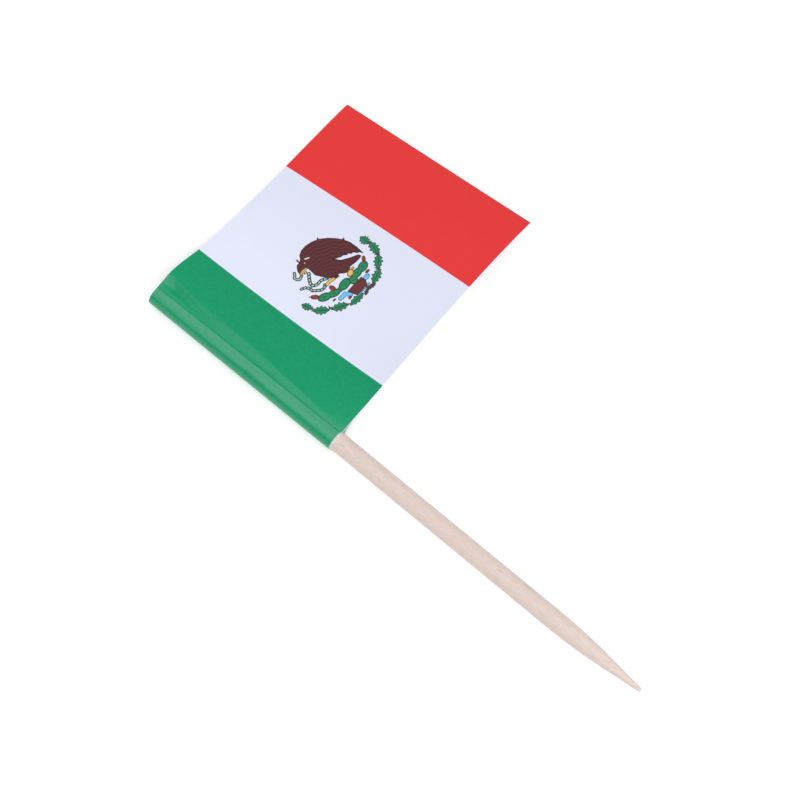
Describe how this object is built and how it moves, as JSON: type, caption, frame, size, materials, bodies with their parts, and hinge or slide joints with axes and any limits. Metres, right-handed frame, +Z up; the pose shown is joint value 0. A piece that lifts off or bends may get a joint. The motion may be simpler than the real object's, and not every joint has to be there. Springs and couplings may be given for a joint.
{
  "type": "flag toothpick",
  "caption": "Round wooden pick with a blunt end and a long point, and a glossy printed paper flag folded round its blunt end and glued to itself, lying flat with a gentle twist",
  "frame": {"origin": "Middle of the outline box seen from above, on the surface the part lies on", "axes": "+X along the pick towards its point, +Y from the pick towards the flag's free edge, +Z up, square to the surface the part lies on"},
  "size_m": [0.0652, 0.0318, 0.005],
  "materials": {
    "pick_wood": "matte",
    "flag_paper": "gloss"
  },
  "bodies": {
    "root": {"pick": "pick_wood", "flag": "flag_paper"}
  },
  "joints": []
}
